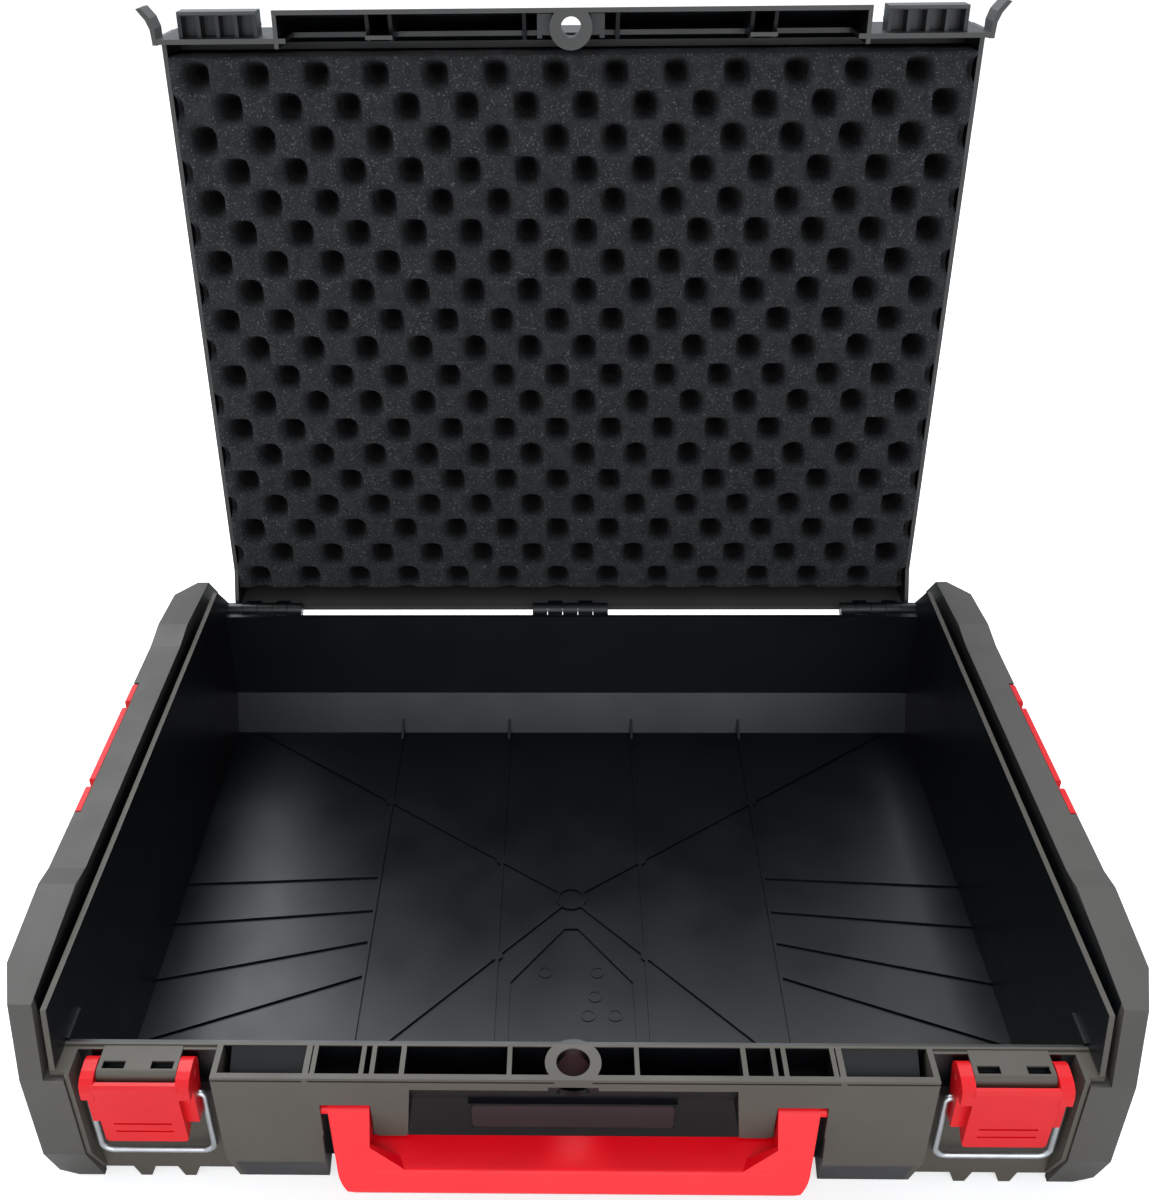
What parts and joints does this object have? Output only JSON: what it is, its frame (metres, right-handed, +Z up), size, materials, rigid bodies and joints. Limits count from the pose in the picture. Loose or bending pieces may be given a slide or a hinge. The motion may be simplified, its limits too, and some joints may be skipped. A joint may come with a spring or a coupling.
{
  "type": "tool case",
  "caption": "Stackable moulded tool case standing open, with foam-lined lid, side rails, draw latches with wire bails and a folding front handle.",
  "frame": {"origin": "under the middle of the tub's floor, on the plane the case rests on", "axes": "+X to the case's right as seen from its front, +Y from the front to the hinge, +Z up"},
  "size_m": [0.4844, 0.4318, 0.4458],
  "materials": {
    "tub": "satin",
    "rail": "satin",
    "lid": "satin",
    "foam": "matte",
    "steel": "satin",
    "wire": "satin",
    "handle": "gloss",
    "latch": "satin",
    "clip": "satin",
    "window": "gloss",
    "card": "matte"
  },
  "bodies": {
    "base": {"base_tub": "tub", "side_rail_left": "rail", "side_rail_right": "rail", "hinge_pin_left": "steel", "hinge_pin_centre": "steel", "hinge_pin_right": "steel", "latch_pin_left": "steel", "latch_pin_right": "steel", "side_clip_pin_left": "steel", "side_clip_pin_right": "steel", "label_window": "window", "label_card": "card"},
    "lid": {"lid_shell": "lid", "lid_foam": "foam"},
    "handle": {"carry_handle": "handle"},
    "lever_left": {"latch_lever_left": "latch"},
    "lever_right": {"latch_lever_right": "latch"},
    "bail_left": {"latch_bail_left": "wire"},
    "bail_right": {"latch_bail_right": "wire"},
    "clip_left": {"side_clip_left": "clip"},
    "clip_right": {"side_clip_right": "clip"}
  },
  "joints": [
    {"name": "lid_hinge", "type": "hinge", "parent": "base", "child": "lid", "pos_m": [0, 0.1728, 0.0884], "axis": [1, 0, 0], "range_deg": [0, 92.5]},
    {"name": "handle_hinge", "type": "hinge", "parent": "base", "child": "handle", "pos_m": [0, -0.1795, 0.0602], "axis": [-1, 0, 0], "range_deg": [0, 70]},
    {"name": "latch_lever_left", "type": "hinge", "parent": "base", "child": "lever_left", "pos_m": [-0.185, -0.175, 0.0775], "axis": [-1, 0, 0], "range_deg": [0, 88]},
    {"name": "latch_bail_left", "type": "hinge", "parent": "lever_left", "child": "bail_left", "pos_m": [-0.185, -0.1755, 0.0643], "axis": [1, 0, 0], "range_deg": [-185.5, 0]},
    {"name": "side_clip_left", "type": "hinge", "parent": "base", "child": "clip_left", "pos_m": [-0.2396, -0.005, 0.032], "axis": [0, -1, 0], "range_deg": [0, 25]},
    {"name": "latch_lever_right", "type": "hinge", "parent": "base", "child": "lever_right", "pos_m": [0.185, -0.175, 0.0775], "axis": [-1, 0, 0], "range_deg": [0, 88]},
    {"name": "latch_bail_right", "type": "hinge", "parent": "lever_right", "child": "bail_right", "pos_m": [0.185, -0.1755, 0.0643], "axis": [1, 0, 0], "range_deg": [-185.5, 0]},
    {"name": "side_clip_right", "type": "hinge", "parent": "base", "child": "clip_right", "pos_m": [0.2396, -0.005, 0.032], "axis": [0, 1, 0], "range_deg": [0, 25]}
  ]
}
